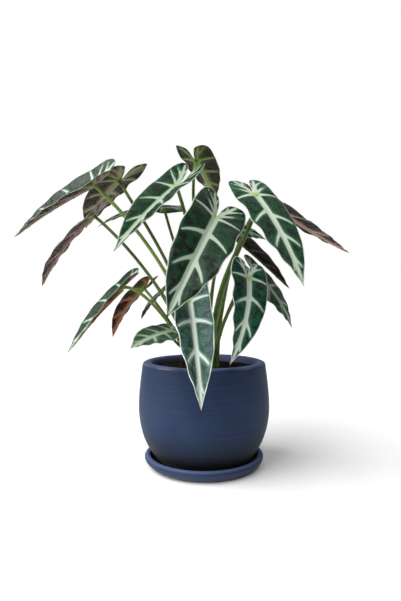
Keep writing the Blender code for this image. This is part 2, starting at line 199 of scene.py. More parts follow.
LEAVES = (
    Leaf("leaf_front_middle", (13, -83, 316), (-40, -138, 201), 50, 65, 34, 44, (34, 10), -12, 8, -14,
         (2, -13), 0.35, 3.9, taper=3.4, upper="dark_tip"),
    Leaf("leaf_front_left", (-36, -18, 368), (-104, -93, 275), 18, 15, 29, 50, (20, 28), -6, 16, 4,
         (-4.5, -6), 0.52, 3.8, upper="rust_tip"),
    Leaf("leaf_top_back", (-11, 8, 409), (20, 115, 378), -14, 10, 26, 33, (34, 18), -14, 2, 8,
         (-2, 7), 0.50, 3.5, lean=-0.3, lower="moss"),
    Leaf("leaf_far_left", (-137, -47, 363), (-262, 15, 306), 45, 10, 28, 38, (26, 28), -4, 14, 0,
         (-12, -13), 0.36, 3.8, upper="dark_tip", stalk="lime"),
    Leaf("leaf_back_left", (-116, 12, 384), (-191, 128, 336), 16, 15, 33, 42, (12, 14), -15, 4, -4,
         (-12.5, -4), 0.38, 3.7, lower="olive"),
    Leaf("leaf_long_left", (-148, 0, 333), (-237, 55, 240), 30, 22, 28, 42, (16, 20), -26, 3, -4,
         (-20, -8), 0.28, 3.7, taper=3.6, lower="mauve"),
    Leaf("leaf_low_left", (-97, -66, 235), (-169, -51, 154), 24, 10, 20, 27, (24, 22), -4, -8, 24,
         (-19, -17), 0.15, 3.2, lean=1.2, upper="dark_tip", lower="rust", stalk="lime"),
    Leaf("leaf_low_left_inner", (-84, 25, 236), (-135, 63, 164), 8, 32, 21, 24, (22, 22), -16, 10, 0,
         (-19.5, 1), 0.20, 3.0, taper=2.8, lower="rust"),
    Leaf("leaf_low_left_back", (-57, 38, 237), (-97, 95, 189), 32, 18, 19, 26, (6, 6), -26, 8, 0,
         (-17, 8.5), 0.25, 2.8, lower="black"),
    Leaf("leaf_small_pale", (-40, -69, 182), (-79, -134, 168), 18, 18, 21, 20, (10, 12), -16, 8, 5,
         (-13, -21), 0.25, 2.6, taper=3.0, upper="grey"),
    Leaf("leaf_narrow_back", (-59, 60, 359), (-157, 63, 328), 0, 40, 22, 32, (0, 0), -35, 0, 3,
         (-10, 5), 0.40, 3.2, lower="green"),
    Leaf("leaf_over_rim", (-18, -64, 219), (-4, -152, 107), 10, 14, 28, 38, (28, 56), -10, 16, 4,
         (-5, -21), 0.35, 3.7, taper=3.0, upper="sheen_painted_peach_tip"),
    Leaf("leaf_low_right", (53, -62, 246), (28, -105, 147), 60, 50, 25, 28, (10, 28), -22, 10, 10,
         (9.5, -17), 0.12, 3.5, upper="speckled"),
    Leaf("leaf_front_right", (65, -36, 353), (112, -100, 235), -16, 28, 29, 38, (12, 10), -24, -4, 2,
         (10, -7), 0.60, 4.4, lean=-0.9, sheath=0.46, taper=3.0),
    Leaf("leaf_far_right", (88, 40, 363), (228, 98, 293), -20, -8, 36, 40, (16, -4), -6, 14, 2,
         (17, -0.5), 0.35, 3.8, lower="ruddy"),
    Leaf("leaf_dark_right", (43, 60, 314), (134, 96, 237), -5, 5, 26, 36, (22, 22), -10, 8, 6,
         (5.5, 9), 0.35, 3.5, lower="black"),
    Leaf("leaf_small_bright", (32, 2, 320), (84, 2, 301), -50, 20, 14, 20, (6, 6), -26, 8, 0,
         (5, 1.5), 0.40, 2.4, upper="bright"),
    Leaf("leaf_low_right_back", (73, 22, 255), (128, 50, 178), -60, 34, 24, 30, (12, 12), -28, 8, 0,
         (12.5, 8), 0.25, 3.1, upper="grey"),
)

# Petiole: how deep it stands in the soil, how high over it it starts to lean, its radius above the
# sheath as a share of its foot's, the share of its length over which the sheath narrows, and how
# far from the joint it turns towards the blade
FOOT_DEPTH = 0.018
FOOT_CLEAR_OF_SOIL = 0.004
PETIOLE_TOP_SHARE = 0.64
SHEATH_TAPER = 0.20
ARRIVAL_SHARE = 0.22

# Veins: the rows from joint to tip, the rows where the pale side veins start, a side vein's
# half-width at its end, and the half-width past which a leaf has one more vein
VEINS = 5
SIDE_VEINS = (0.05, 1.30, 2.60, 3.85)
VEIN_END = 0.00030
BROAD_LEAF = 0.0275

# Relief: how far from a vein and from the edge the skin has swollen up in full, how wide each of the
# small forms is and how far it stands out above and below, and how fast the puckers change outwards,
# along the midrib and in depth, per metre
SWELL_FROM_VEIN = 0.0055
SWELL_FROM_EDGE = 0.004
RIB_RADIUS = 0.0038
RIDGE_RADIUS = 0.0016
RIDGE_ABOVE = 0.00015
RIDGE_BELOW = 0.0006
KNOB_RADIUS = 0.0055
KNOB_ABOVE = 0.0009
KNOB_BELOW = 0.0020
THINNEST = 0.0003
PUCKERS = (60.0, 210.0, 12.0)

# Stage: the floor sheet, the soft key light and the softbox
FLOOR_HALF = 60.0
FLOOR_FRONT = -0.32
KEY_TOWARDS = Vector((0.88, 0.40, -0.72))
KEY_ANGLE = math.radians(75)
SOFTBOX_SIZE = 0.30
SOFTBOX_PLACE = Vector((0.12, -1.20, 1.00))
SOFTBOX_TOWARDS = Vector((0.0, -0.05, 0.24))


# Curves and small helpers

def cubic(a, b, c, d, t):
    """Points on a Bezier curve at the shares t."""
    t = np.asarray(t, float)[..., None]
    a, b, c, d = (np.asarray(p, float) for p in (a, b, c, d))
    return a * (1 - t) ** 3 + b * 3 * t * (1 - t) ** 2 + c * 3 * t * t * (1 - t) + d * t ** 3


def cubic_run(a, b, c, d, steps):
    """Points along a Bezier curve, ends included."""
    return [tuple(p) for p in cubic(a, b, c, d, np.linspace(0, 1, steps + 1))]


def smooth(low, high, x):
    """0 below low, 1 above high, with a soft S between."""
    t = np.clip((x - low) / (high - low), 0, 1)
    return t * t * (3 - 2 * t)


def unit(v):
    """The vectors at length 1."""
    return v / np.linalg.norm(v, axis=-1, keepdims=True)


def new_object(name, bm, materials):
    """Puts a bmesh in the scene as one smooth-shaded object."""
    mesh = bpy.data.meshes.new(name)
    bm.to_mesh(mesh)
    bm.free()
    mesh.shade_smooth()
    for material in materials:
        mesh.materials.append(material)
    obj = bpy.data.objects.new(name, mesh)
    bpy.context.scene.collection.objects.link(obj)
    return obj


def dress(obj, node):
    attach(obj, BODY)
    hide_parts(node)


def turned(profile, steps, closed):
    """A bmesh turned about Z from a profile of (radius, height) points."""
    bm = bmesh.new()
    verts = [bm.verts.new((p[0], 0.0, p[1])) for p in profile]
    edges = [bm.edges.new(pair) for pair in zip(verts, verts[1:])]
    if closed:
        edges.append(bm.edges.new((verts[-1], verts[0])))
    bmesh.ops.spin(bm, geom=verts + edges, cent=(0, 0, 0), axis=(0, 0, 1),
                   angle=math.tau, steps=steps, use_merge=True)
    bmesh.ops.remove_doubles(bm, verts=bm.verts, dist=1e-6)
    bmesh.ops.recalc_face_normals(bm, faces=bm.faces)
    return bm


# Materials

WARE = "matte_blue_slip_on_stoneware"
SOFT = {"interpolation_type": "SMOOTHSTEP"}


def add_node(tree, kind, inputs=None, output=0, **settings):
    """Adds a shader node with its settings, and with values or links on its inputs.

    Returns the output that is asked for.
    """
    made = tree.nodes.new("ShaderNode" + kind)
    for name, value in settings.items():
        setattr(made, name, value)
    for name, value in (inputs or {}).items():
        if isinstance(value, bpy.types.NodeSocket):
            tree.links.new(value, made.inputs[name])
        else:
            made.inputs[name].default_value = value
    return made.outputs[output]


def start_material(name, **constants):
    """A Principled material. Returns it with its tree and shader."""
    material = bpy.data.materials.new(name)
    material.use_nodes = True
    tree = material.node_tree
    shader = tree.nodes["Principled BSDF"]
    for socket, value in constants.items():
        shader.inputs[socket.replace("_", " ")].default_value = value
    return material, tree, shader


def rgba(colour):
    """A colour socket's value."""
    return (*colour[:3], 1.0)


def paint(tree, shader, colour, coats):
    """Lays coats over a colour, and gives the result to the shader.

    A coat is a value, where it starts, where it is full, its share there, and its colour.
    """
    colour = rgba(colour)
    for value, low, high, share, over in coats:
        cover = add_node(tree, "MapRange",
                         {"Value": value, "From Min": low, "From Max": high, "To Max": share}, **SOFT)
        colour = add_node(tree, "Mix", {0: cover, 6: colour, 7: rgba(over)}, 2, data_type="RGBA")
    tree.links.new(colour, shader.inputs["Base Color"])


def ware_material(settings):
    """Stoneware thrown on a wheel and brushed with a matte blue slip.

    The brush leaves faint level bands, the slip is rubbed thin on the rims, and the dry surface has
    almost no gloss. A paler colour on the rims' crests is partly wear and partly painted highlight, the
    inner wall above the soil takes it as painted light, and a near-black laid towards the pot's foot
    and in the saucer's hollow is painted shade.
    """
    material, tree, shader = start_material(WARE, Roughness=0.62, IOR=1.45, Specular_IOR_Level=0.18,
                                            Sheen_Weight=0.05, Sheen_Roughness=0.35)
    coord = add_node(tree, "TexCoord", output="Object")
    # foot marks painted shade: darker towards the pot's foot and in the saucer's hollow
    edge, foot, bare = (add_node(tree, "Attribute", output="Fac", attribute_name=key)
                        for key in ("edge", "foot", "bare"))
    # brush hairs: bands about 1.5 mm high that run far round the pot
    level = add_node(tree, "Mapping", {"Vector": coord, "Scale": (9.0, 9.0, 700.0)})
    bands = add_node(tree, "TexNoise", {"Vector": level, "Scale": 1.0, "Detail": 5.0,
                                                  "Roughness": 0.6})
    # clouds where the slip went on twice, about 60 mm across
    clouds = add_node(tree, "TexNoise", {"Vector": coord, "Scale": 16.0, "Detail": 2.0})
    # grit in the clay, about 0.6 mm
    grit = add_node(tree, "TexNoise", {"Vector": coord, "Scale": 1600.0, "Detail": 2.0})
    brushed = add_node(tree, "MapRange", {"Value": bands, "From Min": 0.25, "From Max": 0.7,
                                                    "To Min": 0.6}, **SOFT)
    # the rims' crests are worn slip with a painted highlight, and the pot's inner wall above the soil
    # is painted light
    worn_and_lit_rims = add_node(tree, "Math", {0: edge, 1: brushed}, operation="MULTIPLY")
    paint(tree, shader, settings.slip, (
        (clouds, 0.35, 0.65, 0.6, settings.slip_deep),
        (bands, 0.42, 0.80, 0.38, settings.slip_thin),
        (grit, 0.56, 0.80, 0.20, settings.rim_wear_and_highlight),
        (worn_and_lit_rims, 0.0, 1.0, 1.0, settings.rim_wear_and_highlight),
        (bare, 0.15, 1.0, 0.45, settings.clay),
        # painted shade towards the pot's foot and in the saucer's hollow
        (foot, 0.0, 1.0, 1.0, settings.painted_foot_shade)))
    rough = add_node(tree, "MapRange", {"Value": grit, "To Min": 0.54, "To Max": 0.72})
    tree.links.new(rough, shader.inputs["Roughness"])
    height = add_node(tree, "Mix", {0: 0.4, 2: bands, 3: grit})
    bump = add_node(tree, "Bump", {"Height": height, "Strength": 0.35, "Distance": 0.0004})
    tree.links.new(bump, shader.inputs["Normal"])
    return material


def soil_material(settings):
    """Damp potting mix of peat and humus, with few bark chips: crumbly, without gloss."""
    material, tree, shader = start_material("damp_potting_mix", Roughness=0.95, IOR=1.4,
                                            Specular_IOR_Level=0.15)
    coord = add_node(tree, "TexCoord", output="Object")
    # crumbs about 3 mm across
    lumps = add_node(tree, "TexNoise", {"Vector": coord, "Scale": 330.0, "Detail": 6.0,
                                                  "Roughness": 0.7})
    chips = add_node(tree, "TexVoronoi", {"Vector": coord, "Scale": 260.0}, "Distance")
    loose = add_node(tree, "Math", {0: lumps, 1: chips}, operation="SUBTRACT")
    paint(tree, shader, settings.humus, (
        (lumps, 0.45, 0.70, 1.0, settings.peat),
        (loose, 0.26, 0.40, 1.0, settings.bark)))
    bump = add_node(tree, "Bump", {"Height": lumps, "Strength": 0.9, "Distance": 0.002})
    tree.links.new(bump, shader.inputs["Normal"])
    return material


# what a blade's mesh keeps for its materials: how far each place is from the nearest vein's side,
# from the edge and from the joint, and its share of the way to the tip
BLADE_VALUES = ("vein_mm", "edge_mm", "joint_mm", "along")


def blade_values(tree):
    """The values that a blade's mesh keeps, and its flat places in millimetres."""
    values = [add_node(tree, "Attribute", output="Fac", attribute_name=key) for key in BLADE_VALUES]
    return (*values, add_node(tree, "UVMap", uv_map="leaf_mm"))


class Upper(NamedTuple):
    """A blade's upper face: colours, then how speckled it is and how far it pales to the tip."""

    field: str
    light: str
    halo: str
    vein: str
    edge: str
    tip: str
    speckle: float = 0.40
    fade: float = 0.7


UPPER = {
    "deep": Upper("#010E08", "#063A1C", "#3C6C52", "#B0BEAA", "#C0CCBC", "#BFC3AB", 0.55),
    "dark_tip": Upper("#01120A", "#07381B", "#205236", "#ACBAA6", "#BCC8B8", "#2E2A1E", 0.12, 0.1),
    "rust_tip": Upper("#011204", "#084218", "#24583A", "#A6B4A0", "#B6C2B2", "#8A4A1C", fade=0.1),
    "speckled": Upper("#01160C", "#0A4830", "#2E6A54", "#C0CCBC", "#CCD6C8", "#BFC3AB", 0.55),
    # its pale slate field, halo and dense speckle are partly the leaf's own tone and partly painted
    # sheen, the glossy reflection on a leaf that faces the light
    "sheen_painted_peach_tip": Upper("#16342E", "#365A52", "#7A988E", "#CAD4C8", "#DCE2D8", "#E0B890", 0.75, 0.5),
    "grey": Upper("#0E2618", "#34543E", "#5C7A66", "#98A98E", "#A8B5A2", "#8FA48A", 0.5),
    "bright": Upper("#04280C", "#165A24", "#3A7A4A", "#98AE90", "#A0B29A", "#2A6234"),
}


def upper_material(name, tones):
    """Upper face of an alocasia blade: thick dark green leaf with a waxy skin.

    The skin is glossy between the veins, where it swells, and duller on the pale veins.
    """
    material, tree, shader = start_material(
        "waxy_upper_leaf_" + name, IOR=1.45, Specular_IOR_Level=0.20, Coat_Weight=0.16,
        Coat_Roughness=0.24)
    vein_mm, edge_mm, joint_mm, along, leaf_mm = blade_values(tree)
    coord = add_node(tree, "TexCoord", output="Object")
    # patches of chlorophyll about 9 mm across
    patch = add_node(tree, "TexNoise", {"Vector": coord, "Scale": 110.0, "Detail": 4.0})
    # cells between the smallest veins, about 1.4 mm, drawn out along the side veins
    drawn = add_node(tree, "Mapping", {"Vector": leaf_mm, "Scale": (0.22, 0.75, 1.0)})
    cells = add_node(tree, "TexNoise", {"Vector": drawn, "Scale": 1.0, "Detail": 4.0,
                                                  "Roughness": 0.65})
    # a vein's side is ragged by the cells, up to 0.8 mm either way
    reach = add_node(tree, "Math", {0: cells, 1: 1.6, 2: vein_mm}, operation="MULTIPLY_ADD")
    paint(tree, shader, srgb(tones.field), (
        (patch, 0.35, 0.65, 1.0, srgb(tones.light)),
        (cells, 0.52, 0.68, tones.speckle, srgb(tones.halo)),
        (reach, 4.0, 0.9, 0.8, srgb(tones.halo)),
        (reach, 1.3, 0.3, 1.0, srgb(tones.vein)),
        (joint_mm, 9.0, 2.0, 0.85, srgb("#8FB262")),
        (edge_mm, 1.15, 0.65, 1.0, srgb(tones.edge)),
        (along, 0.86, 0.96, tones.fade, srgb(tones.vein)),
        (along, 0.965, 0.985, 1.0, srgb(tones.tip))))
    vein = add_node(tree, "MapRange", {"Value": reach, "From Min": 0.3, "From Max": 1.3}, **SOFT)
    rough = add_node(tree, "MapRange", {"Value": vein, "To Min": 0.48, "To Max": 0.25})
    tree.links.new(rough, shader.inputs["Roughness"])
    deep = add_node(tree, "MapRange", {"Value": vein, "To Min": 0.3, "To Max": 1.0})
    height = add_node(tree, "Math", {0: cells, 1: deep}, operation="MULTIPLY")
    bump = add_node(tree, "Bump", {"Height": height, "Strength": 1.0, "Distance": 0.0012})
    tree.links.new(bump, shader.inputs["Normal"])
    return material


class Lower(NamedTuple):
    """A blade's lower face: its colours, and how much painted shade darkens its right half."""

    field: str
    light: str
    vein: str
    edge: str
    tip: str
    painted_half_shade: float = 0.0


LOWER = {
    "plain": Lower("#3A2C22", "#7A685C", "#A3948A", "#7A7468", "#A9A58A"),
    "mauve": Lower("#3A2622", "#7E6660", "#96847A", "#6A6256", "#5A2E18"),
    "rust": Lower("#240C06", "#8A5236", "#A07E62", "#5A4636", "#3A1C12"),
    "olive": Lower("#20180C", "#77724C", "#A3A27E", "#6E7054", "#3A4A2C"),
    "moss": Lower("#221C0A", "#5C6430", "#94A660", "#5E6840", "#3A4A2C"),
    # painted shade: the right half is darkened towards the field colour, as if it lay in shadow
    "ruddy": Lower("#0E0706", "#8E6A5C", "#C0A498", "#4A4038", "#1C100C", 1.0),
    "black": Lower("#020101", "#080505", "#4A462C", "#4A4A34", "#8A3E16"),
    "green": Lower("#02200E", "#0E4426", "#8FA888", "#B4C0B0", "#4A5A44"),
}


def lower_material(name, tones):
    """Lower face of an alocasia blade: the maroon skin under the leaf, with raised paler veins.

    It is drier than the upper face, so its gloss is broad and soft.
    """
    material, tree, shader = start_material("satin_lower_leaf_" + name, IOR=1.42,
                                            Specular_IOR_Level=0.16)
    vein_mm, edge_mm, joint_mm, along, leaf_mm = blade_values(tree)
    coord = add_node(tree, "TexCoord", output="Object")
    # blotches of the maroon pigment, about 6 mm
    patch = add_node(tree, "TexNoise", {"Vector": coord, "Scale": 160.0, "Detail": 5.0})
    drawn = add_node(tree, "Mapping", {"Vector": leaf_mm, "Scale": (0.3, 1.0, 1.0)})
    cells = add_node(tree, "TexNoise", {"Vector": drawn, "Scale": 1.0, "Detail": 4.0,
                                                  "Roughness": 0.65})
    reach = add_node(tree, "Math", {0: cells, 1: 2.4, 2: vein_mm}, operation="MULTIPLY_ADD")
    pigment = add_node(tree, "Math", {0: patch, 1: 11.0, 2: reach}, operation="MULTIPLY_ADD")
    across = add_node(tree, "SeparateXYZ", {0: leaf_mm}, "X")
    # painted shade: one half of the lower face is darkened as if in shadow
    half_shade_mask = add_node(tree, "Math", {0: across, 1: tones.painted_half_shade}, operation="MULTIPLY")
    paint(tree, shader, srgb(tones.light), (
        (pigment, 7.4, 10.6, 1.0, srgb(tones.field)),
        (cells, 0.54, 0.70, 0.6, srgb(tones.light)),
        (joint_mm, 26.0, 6.0, 0.7, srgb("#3E6024")),
        (reach, 1.8, 0.4, 0.85, srgb(tones.vein)),
        (half_shade_mask, 0.2, 3.0, 0.85, srgb(tones.field)),
        (joint_mm, 10.0, 2.5, 1.0, srgb("#8FB052")),
        (edge_mm, 0.95, 0.5, 0.8, srgb(tones.edge)),
        (along, 0.95, 0.985, 1.0, srgb(tones.tip))))
    rough = add_node(tree, "MapRange", {"Value": patch, "To Min": 0.42, "To Max": 0.62})
    tree.links.new(rough, shader.inputs["Roughness"])
    bump = add_node(tree, "Bump", {"Height": cells, "Strength": 0.5, "Distance": 0.001})
    tree.links.new(bump, shader.inputs["Normal"])
    return material


# a stalk's dark streaks, its flesh, its base and its top
STALK = {
    "olive": ("#24380F", "#56692F", "#5F8A38", "#93AC50"),
    "lime": ("#4A6426", "#87A050", "#6E9840", "#AEC267"),
}


def stalk_material(name, tones):
    """Petiole: a smooth fleshy stalk, darkest in the middle and yellow-green at its ends.

    Fine darker streaks run along it.
    """
    material, tree, shader = start_material("fleshy_stalk_" + name, Roughness=0.42, IOR=1.42,
                                            Specular_IOR_Level=0.35)
    streak, flesh, base, top = (srgb(code) for code in tones)
    along = add_node(tree, "Attribute", output="Fac", attribute_name="along")
    leaf_mm = add_node(tree, "UVMap", uv_map="leaf_mm")
    # streaks about 0.7 mm wide and 15 mm long
    drawn = add_node(tree, "Mapping", {"Vector": leaf_mm, "Scale": (1.4, 0.06, 1.0)})
    streaks = add_node(tree, "TexNoise", {"Vector": drawn, "Scale": 1.0, "Detail": 3.0})
    paint(tree, shader, flesh, (
        (along, 0.55, 0.12, 0.8, base),
        (along, 0.72, 1.0, 1.0, top),
        (streaks, 0.62, 0.34, 0.75, streak)))
    bump = add_node(tree, "Bump", {"Height": streaks, "Strength": 0.4, "Distance": 0.0006})
    tree.links.new(bump, shader.inputs["Normal"])
    return material


# Leaf form

class Form:
    """Where one leaf lies in space, in metres."""

    def __init__(self, leaf, settings):
        self.leaf = leaf
        self.width = leaf.half_width * MM
        self.lobe = leaf.lobe * MM
        self.wave = settings.wave
        self.scallop = settings.scallop
        self.joint = np.array(leaf.joint, float) * MM
        chord = np.array(leaf.tip, float) * MM - self.joint
        self.along = unit(chord)
        up = np.array([0.0, 0.0, 1.0])
        level = unit(up - up.dot(self.along) * self.along)
        roll = math.radians(leaf.roll)
        self.normal = level * math.cos(roll) + np.cross(level, self.along) * math.sin(roll)
        self.arch = math.radians(leaf.arch)
        self.length = np.linalg.norm(chord) * (self.arch / 2) / math.sin(self.arch / 2)

    def body_half_width(self, t):
        """Half-width of the blade at share t of the way to the tip, from 1 at the joint."""
        return (1 - t ** self.leaf.taper) * (1 - 0.45 * t ** 6)

    def margin(self, v):
        """Flat points on the blade's edge. v is 0 at the lowest side vein, VEINS at the tip,
        -1 at the lobe's end and -2 in the notch between the lobes."""
        v = np.asarray(v, float)
        t = np.clip(v / VEINS, 0, 1)
        along = t + 0.62 * t * (1 - t) + 0.04 * (1 - t)
        ripple = 1 + self.scallop * np.cos(math.tau * v) * (1 - t ** 4)
        wide = self.width * (1 + self.scallop)
        body = np.stack([self.width * self.body_half_width(along) * ripple, self.length * along], -1)
        side = np.array([wide * self.body_half_width(0.04), 0.04 * self.length])
        end = np.array([0.56 * self.width, -self.lobe])
        notch = np.array([0.0, -0.035 * self.length])
        outer = cubic(side, side + (0.02 * self.width, -0.50 * self.lobe),
                      end + (0.40 * self.width, 0.0), end, np.clip(-v, 0, 1))
        inner = cubic(end, end + (-0.40 * self.width, 0.0),
                      notch + (0.10 * self.width, -0.50 * self.lobe), notch, np.clip(-v - 1, 0, 1))
        return np.where((v >= 0)[..., None], body, np.where((v >= -1)[..., None], outer, inner))

    def flat(self, u, v):
        """Flat points on the half-blade: u runs along a vein from the midrib to the edge."""
        edge = self.margin(v)
        share = np.clip(np.asarray(v, float) / VEINS, 0, 1)
        root = np.stack([np.zeros_like(share), self.length * share], -1)
        bend = np.stack([0.6 * edge[..., 0], root[..., 1] + 0.22 * (edge[..., 1] - root[..., 1])], -1)
        fan = np.clip(-2 * v, 0, 1)[..., None]
        bend = bend * (1 - fan) + 0.55 * edge * fan
        u = np.asarray(u, float)[..., None]
        return root * (1 - u) ** 2 + bend * (2 * u * (1 - u)) + edge * u * u

    def midrib(self, s):
        """Points, directions and top side's normals at distances s from the joint."""
        s = np.asarray(s, float)
        turn = np.where(s >= 0, -self.arch / self.length, math.radians(self.leaf.lift) / self.lobe)
        turn = np.where(np.abs(turn) < 1e-5, 1e-5, turn)
        heading = self.arch / 2 + turn * s
        along = ((np.sin(heading) - math.sin(self.arch / 2)) / turn)[..., None]
        above = ((math.cos(self.arch / 2) - np.cos(heading)) / turn)[..., None]
        c, n = np.cos(heading)[..., None], np.sin(heading)[..., None]
        point = self.joint + self.along * along + self.normal * above
        return point, self.along * c + self.normal * n, self.normal * c - self.along * n

    def point(self, u, v, side, waviness):
        """Points in the middle of the blade's thickness. side is 1 right of the midrib, -1 left."""
        flat = self.flat(u, v)
        point, tangent, normal = self.midrib(flat[..., 1])
        twist = math.radians(self.leaf.twist) * np.clip(flat[..., 1] / self.length, 0, 1)[..., None]
        across = np.cross(normal, tangent)
        normal = normal * np.cos(twist) + across * np.sin(twist)
        across = np.cross(normal, tangent)
        fold = np.radians(np.where(side < 0, self.leaf.fold[0], self.leaf.fold[1]))
        curl = math.radians(self.leaf.curl) / self.width or 1e-6
        out = (np.sin(fold + curl * flat[..., 0]) - np.sin(fold)) / curl
        rise = (np.cos(fold) - np.cos(fold + curl * flat[..., 0])) / curl
        fade = 1 - (np.clip(v, 0, None) / VEINS) ** 3
        wave = -self.wave * self.width * waviness * u * u * fade
        return point + across * (side * out)[..., None] + normal * (rise + wave)[..., None]


def vein_lines(form, settings, side, jitter):
    """Flat centre lines of one half's pale veins, each with its half-widths, in metres."""
    lines = []
    width = form.width * settings.vein_width
    for k, place in enumerate(SIDE_VEINS):
        v = place + jitter[side][k]
        u = np.linspace(0, 0.90 - 0.03 * k, 24)
        taper = width * (1.05 - 0.10 * k) * (1 - 0.72 * (u / u[-1]) ** 1.3)
        flare = width * 0.7 * np.exp(-(u / 0.16) ** 2)
        path = form.flat(u, np.full_like(u, v))
        # straighter than the swellings beside it
        chord = path[:1] + (path[-1:] - path[:1]) * (u / u[-1])[:, None]
        lines.append((0.75 * path + 0.25 * chord, taper + flare + VEIN_END))
    u = np.linspace(0, 0.90, 24)
    costa = form.width * 0.120 * (1 - 0.62 * u)
    lines.append((form.flat(u, np.full_like(u, -1.02)), costa))
    # the lobe's vein forks to both sides, and a broad leaf has one more vein out of its joint
    forks = [(0.30, -1.02, -0.66, 0.75), (0.46, -1.02, -1.36, 0.55)]
    if form.width > BROAD_LEAF:
        forks.append((0.0, -0.50, -0.44, 0.85))
    for start, first, last, share in forks:
        u = np.linspace(start, 0.90, 20)
        along = (u - start) / (0.90 - start)
        taper = width * share * (1 - 0.66 * along)
        lines.append((form.flat(u, first + (last - first) * along ** 0.8), taper + VEIN_END))
    return lines


def midrib_line(form, settings):
    """The midrib's flat centre line with its half-widths."""
    t = np.linspace(0, 1, 60)
    line = np.stack([np.zeros_like(t), form.length * t], -1)
    base = form.width * settings.midrib_width * (0.60 + 0.40 * (1 - t))
    return line, np.minimum(base, 0.36 * form.width * form.body_half_width(t))


def distances(points, lines):
    """For each flat point, its distance past the nearest line's side, and to its centre."""
    past = np.full(len(points), 1e9)
    centre = np.full(len(points), 1e9)
    for line, half in lines:
        a, b = line[:-1], line[1:]
        span = b - a
        rel = points[:, None, :] - a[None]
        t = np.clip((rel * span).sum(-1) / np.maximum((span * span).sum(-1), 1e-12), 0, 1)
        gap = np.linalg.norm(rel - span * t[..., None], axis=-1)
        wide = half[:-1] + (half[1:] - half[:-1]) * t
        past = np.minimum(past, (gap - wide).min(1))
        centre = np.minimum(centre, gap.min(1))
    return past, centre


def blade_relief(leaf, form, settings, jitter, flat, u, v, side):
    """How high the skin lies over the blade's middle, how thick the blade is there, and the values
    that its mesh keeps."""
    past = np.empty(len(u))
    centre = np.empty(len(u))
    edge = np.empty(len(u))
    rim = form.margin(np.linspace(-2, VEINS, 420))
    rim = [(rim, np.zeros(len(rim)))]
    for s in (-1, 1):
        mine = side == s
        past[mine], centre[mine] = distances(flat[mine], vein_lines(form, settings, s, jitter))
        edge[mine], _ = distances(flat[mine], rim)
    rib_past, rib_centre = distances(flat, [midrib_line(form, settings)])
    reach = np.hypot(flat[:, 0], flat[:, 1])
    share = np.clip(flat[:, 1] / form.length, 0, 1)
    edge = np.where(u >= 0.999, 0.0, edge)

    # the blade swells between its veins, in puckers that run from the midrib to the edge about 5 mm
    # apart, but a rolled blade is pulled smooth
    swell = (smooth(0.0, SWELL_FROM_VEIN, np.minimum(past, rib_past))
             * smooth(0.0, SWELL_FROM_EDGE, edge))
    lumps = np.array([noise.noise(Vector((x * PUCKERS[0], y * PUCKERS[1] + side[i] * 9.0,
                                          x * PUCKERS[2])))
                      for i, (x, y) in enumerate(flat)])
    calm = 1 - min(0.65, abs(leaf.curl) / 42)
    knob = np.exp(-(reach / KNOB_RADIUS) ** 2)
    ridge = np.exp(-(centre / RIDGE_RADIUS) ** 2) * (1 - 0.5 * u)
    above = (settings.quilt * calm * swell * (1 + 0.75 * lumps) * min(1.0, form.width / 0.03)
             + RIDGE_ABOVE * ridge)
    # behind the joint the two lobes meet in one line, so both are lifted alike there
    above = above * smooth(-2.0, -1.9, v) + KNOB_ABOVE * knob + settings.thickness / 2
    # its ribs stand out below, and the midrib stays thinner than the narrow tip is wide
    rib_round = np.sqrt(np.clip(1 - (rib_centre / RIB_RADIUS) ** 2, 0, 1))
    rib = settings.rib * rib_round * (1 - 0.72 * share) * smooth(-0.006, 0.001, flat[:, 1])
    thick = (settings.thickness + rib + RIDGE_BELOW * ridge + KNOB_BELOW * knob)
    thick = np.minimum(thick * smooth(-0.002, 0.0016, edge), THINNEST + 0.45 * edge)
    values = (np.minimum(past, rib_past) / MM, edge / MM, reach / MM, share)
    return above, thick, np.stack(values, -1)


